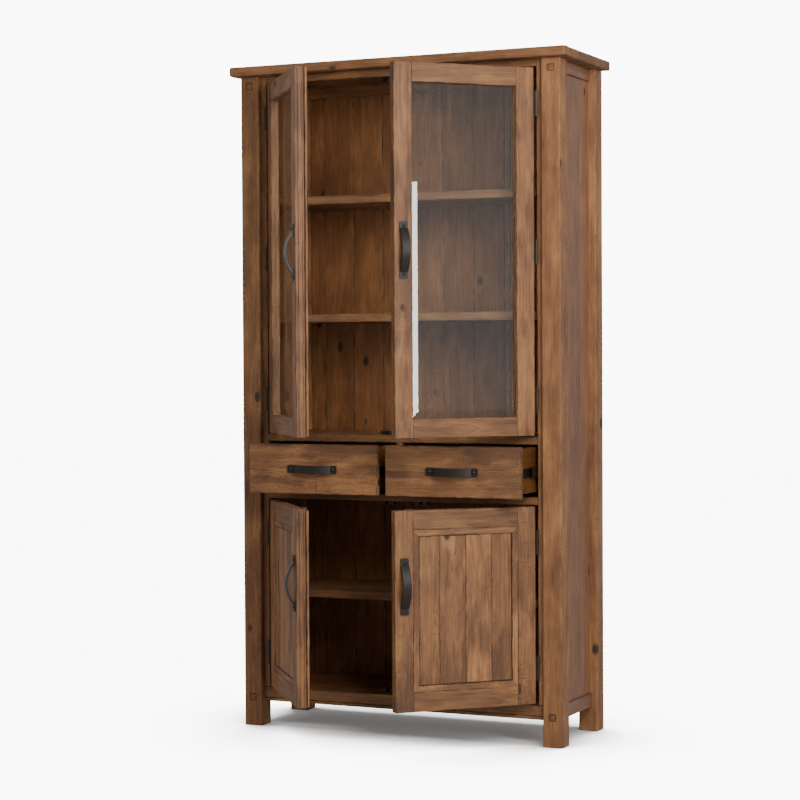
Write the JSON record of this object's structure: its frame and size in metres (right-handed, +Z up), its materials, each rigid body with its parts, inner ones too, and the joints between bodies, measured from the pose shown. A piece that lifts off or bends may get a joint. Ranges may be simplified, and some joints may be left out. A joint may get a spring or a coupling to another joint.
{
  "type": "pantry cabinet",
  "caption": "Tall freestanding solid-wood pantry cabinet with glazed doors above, drawers in the middle and panelled doors below.",
  "frame": {"origin": "on the floor, in the middle of the space that the cabinet takes up with its doors and drawers standing ajar", "axes": "+Z up, the front faces -Y, +X is to the viewer's right when looking at the front"},
  "size_m": [1.08, 0.6994, 2],
  "materials": {
    "cabinet_wood": "satin wax over saw-marked solid wood",
    "side_wood": "satin wax over saw-marked solid wood",
    "drawer_box_wood": "clear satin lacquer",
    "bevelled_glass": "clear, polished bevel",
    "black_iron": "matt black over forged iron",
    "slide_steel": "black-coated steel sheet"
  },
  "bodies": {
    "cabinet": {"top_slab": "cabinet_wood", "front_left_post": "side_wood", "front_right_post": "side_wood", "rear_left_post": "side_wood", "rear_right_post": "side_wood", "post_pegs": "cabinet_wood", "side_panels": "side_wood", "side_rails": "side_wood", "back_boards": "cabinet_wood", "back_rails": "cabinet_wood", "frame_stiles": "cabinet_wood", "frame_rails": "cabinet_wood", "base_strip": "cabinet_wood", "cabinet_floor": "cabinet_wood", "drawer_bay_floor": "cabinet_wood", "upper_floor": "cabinet_wood", "drawer_bay_uprights": "cabinet_wood", "shelves": "cabinet_wood", "shelf_cleats": "cabinet_wood", "frame_hinge_leaves": "black_iron", "catch_bodies": "black_iron", "fixed_slides": "slide_steel"},
    "upper_left_door": {"upper_left_door_stiles": "cabinet_wood", "upper_left_door_rails": "cabinet_wood", "upper_left_door_glass": "bevelled_glass", "upper_left_door_beads": "cabinet_wood", "upper_left_door_handle": "black_iron", "upper_left_door_fittings": "black_iron", "upper_left_door_astragal": "cabinet_wood"},
    "upper_right_door": {"upper_right_door_stiles": "cabinet_wood", "upper_right_door_rails": "cabinet_wood", "upper_right_door_glass": "bevelled_glass", "upper_right_door_beads": "cabinet_wood", "upper_right_door_handle": "black_iron", "upper_right_door_fittings": "black_iron"},
    "lower_left_door": {"lower_left_door_stiles": "cabinet_wood", "lower_left_door_rails": "cabinet_wood", "lower_left_door_panel": "cabinet_wood", "lower_left_door_moulding": "cabinet_wood", "lower_left_door_handle": "black_iron", "lower_left_door_fittings": "black_iron", "lower_left_door_astragal": "cabinet_wood"},
    "lower_right_door": {"lower_right_door_stiles": "cabinet_wood", "lower_right_door_rails": "cabinet_wood", "lower_right_door_panel": "cabinet_wood", "lower_right_door_moulding": "cabinet_wood", "lower_right_door_handle": "black_iron", "lower_right_door_fittings": "black_iron"},
    "left_drawer": {"left_drawer_front": "cabinet_wood", "left_drawer_walls": "drawer_box_wood", "left_drawer_bottom": "drawer_box_wood", "left_drawer_handle": "black_iron", "left_drawer_inner_slides": "slide_steel"},
    "left_slide_middles": {"left_drawer_middle_slides": "slide_steel"},
    "right_drawer": {"right_drawer_front": "cabinet_wood", "right_drawer_walls": "drawer_box_wood", "right_drawer_bottom": "drawer_box_wood", "right_drawer_handle": "black_iron", "right_drawer_inner_slides": "slide_steel"},
    "right_slide_middles": {"right_drawer_middle_slides": "slide_steel"}
  },
  "joints": [
    {"name": "upper_left_door_hinge", "type": "hinge", "parent": "cabinet", "child": "upper_left_door", "pos_m": [-0.4375, -0.00384, 1.4205], "axis": [0, 0, -1], "range_deg": [-51.7, 83.3]},
    {"name": "upper_right_door_hinge", "type": "hinge", "parent": "cabinet", "child": "upper_right_door", "pos_m": [0.4375, -0.00384, 1.4205], "axis": [0, 0, 1], "range_deg": [-46, 89]},
    {"name": "lower_left_door_hinge", "type": "hinge", "parent": "cabinet", "child": "lower_left_door", "pos_m": [-0.4375, -0.00384, 0.406], "axis": [0, 0, -1], "range_deg": [-52, 83]},
    {"name": "lower_right_door_hinge", "type": "hinge", "parent": "cabinet", "child": "lower_right_door", "pos_m": [0.4375, -0.00384, 0.406], "axis": [0, 0, 1], "range_deg": [-45.2, 89.8]},
    {"name": "left_drawer_slide", "type": "slide", "parent": "cabinet", "child": "left_drawer", "axis": [0, -1, 0], "range_m": [-0.13, 0.12]},
    {"name": "right_drawer_slide", "type": "slide", "parent": "cabinet", "child": "right_drawer", "axis": [0, -1, 0], "range_m": [-0.13, 0.12]},
    {"name": "left_middle_slide", "type": "slide", "parent": "cabinet", "child": "left_slide_middles", "axis": [0, -1, 0], "range_m": [-0.065, 0.06]},
    {"name": "right_middle_slide", "type": "slide", "parent": "cabinet", "child": "right_slide_middles", "axis": [0, -1, 0], "range_m": [-0.065, 0.06]}
  ],
  "couplings": [
    {"joint": "left_middle_slide", "follows": "left_drawer_slide", "ratio": 0.5},
    {"joint": "right_middle_slide", "follows": "right_drawer_slide", "ratio": 0.5}
  ]
}
